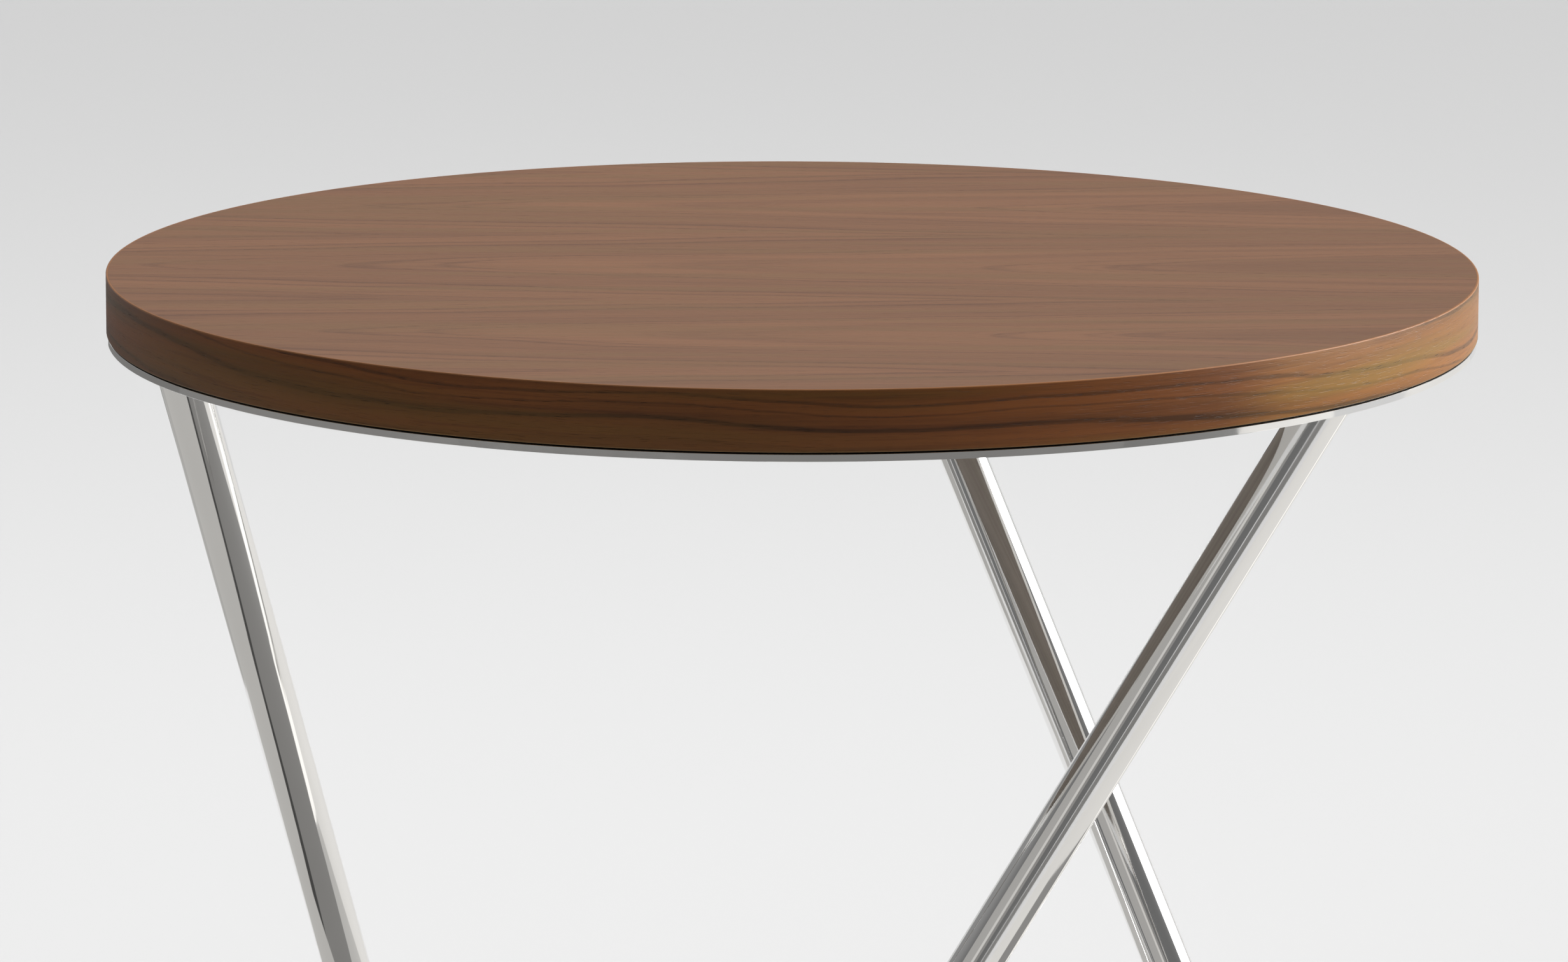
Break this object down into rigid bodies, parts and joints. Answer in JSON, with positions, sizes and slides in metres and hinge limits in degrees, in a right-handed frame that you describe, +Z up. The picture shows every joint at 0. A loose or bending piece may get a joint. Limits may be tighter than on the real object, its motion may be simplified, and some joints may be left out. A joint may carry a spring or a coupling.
{
  "type": "folding tray table",
  "caption": "Round veneered tray that lifts off a chromed ring on twisted tube legs, which fold flat under the ring on hidden friction hinges.",
  "frame": {"origin": "on the floor, under the middle of the tray", "axes": "+Z up, +Y away from the usual viewer, +X to the viewer's right"},
  "size_m": [0.6, 0.6, 0.5],
  "materials": {
    "walnut_top": "satin oiled walnut veneer, straight grain with soft arches",
    "walnut_edge": "satin walnut edge band, grain along the band",
    "walnut_backing": "sealed walnut veneer, plainer than the top",
    "core_board": "raw fibreboard, hidden",
    "brass": "turned",
    "gasket_rubber": "matt black",
    "chrome": "polished chrome plate",
    "bare_steel": "machined, oiled",
    "washer_nylon": "natural",
    "foot_nylon": "moulded black",
    "foot_felt": "pressed felt"
  },
  "bodies": {
    "tray": {"top_veneer": "walnut_top", "edge_band": "walnut_edge", "tray_core": "core_board", "backing_veneer": "walnut_backing", "stud_bush_1": "brass", "stud_bush_2": "brass", "stud_bush_3": "brass"},
    "stand": {"support_ring": "chrome", "ring_gasket": "gasket_rubber", "locating_stud_1": "bare_steel", "locating_stud_2": "bare_steel", "locating_stud_3": "bare_steel", "left_hinge_tongue": "bare_steel", "right_hinge_tongue": "bare_steel", "rear_hinge_tongue": "bare_steel"},
    "left_leg": {"left_leg_tube": "chrome", "left_hinge_insert": "bare_steel", "left_hinge_pin": "bare_steel", "left_outer_friction_washer": "washer_nylon", "left_inner_friction_washer": "washer_nylon", "left_foot_plug": "foot_nylon", "left_foot_pad": "foot_felt"},
    "right_leg": {"right_leg_tube": "chrome", "right_hinge_insert": "bare_steel", "right_hinge_pin": "bare_steel", "right_outer_friction_washer": "washer_nylon", "right_inner_friction_washer": "washer_nylon", "right_foot_plug": "foot_nylon", "right_foot_pad": "foot_felt"},
    "rear_leg": {"rear_leg_tube": "chrome", "rear_hinge_insert": "bare_steel", "rear_hinge_pin": "bare_steel", "rear_outer_friction_washer": "washer_nylon", "rear_inner_friction_washer": "washer_nylon", "rear_foot_plug": "foot_nylon", "rear_foot_pad": "foot_felt"}
  },
  "joints": [
    {"name": "tray_lift", "type": "slide", "parent": "stand", "child": "tray", "axis": [0, 0, 1], "range_m": [0, 0.12]},
    {"name": "left_leg_fold", "type": "hinge", "parent": "stand", "child": "left_leg", "pos_m": [-0.25582, -0.0933, 0.4482], "axis": [0.8405, -0.5191, -0.1552], "range_deg": [0, 58.7]},
    {"name": "right_leg_fold", "type": "hinge", "parent": "stand", "child": "right_leg", "pos_m": [0.20871, -0.17489, 0.4482], "axis": [0.0293, 0.9874, -0.1552], "range_deg": [0, 58.7]},
    {"name": "rear_leg_fold", "type": "hinge", "parent": "stand", "child": "rear_leg", "pos_m": [0.04711, 0.2682, 0.4482], "axis": [-0.8698, -0.4683, -0.1552], "range_deg": [0, 58.7]}
  ]
}
